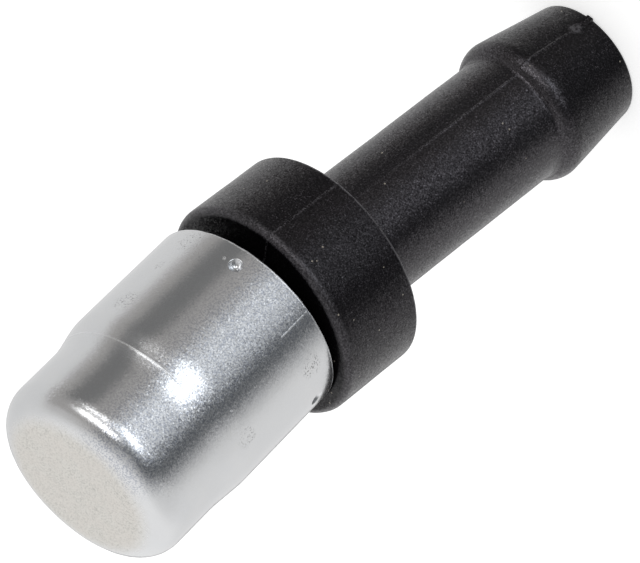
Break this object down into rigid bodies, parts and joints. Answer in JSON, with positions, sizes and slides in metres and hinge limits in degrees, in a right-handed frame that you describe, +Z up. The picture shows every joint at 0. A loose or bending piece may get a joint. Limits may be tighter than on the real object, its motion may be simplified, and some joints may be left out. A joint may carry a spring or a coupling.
{
  "type": "axle breather vent",
  "caption": "Hose-barb breather vent: a moulded black body with a through air bore and a loose drawn steel cap that rocks on it.",
  "frame": {"origin": "centre of the hose barb's flat end face, on the stem's axis", "axes": "+Z up along the stem from the barb to the cap; the cap leans towards -X as it rests, and rocks about an axis along +Y"},
  "size_m": [0.0141, 0.0138, 0.0435],
  "materials": {
    "moulding": "satin moulded black, fine grain",
    "cap_steel": "satin zinc plating on drawn steel",
    "seal_rubber": "matte black rubber"
  },
  "bodies": {
    "body": {"vent_body": "moulding"},
    "cap": {"vent_cap": "cap_steel", "seal_disc": "seal_rubber"}
  },
  "joints": [
    {"name": "cap_rock", "type": "hinge", "parent": "body", "child": "cap", "pos_m": [0, 0, 0.03124], "axis": [0, 1, 0], "range_deg": [0, 13.7]}
  ]
}
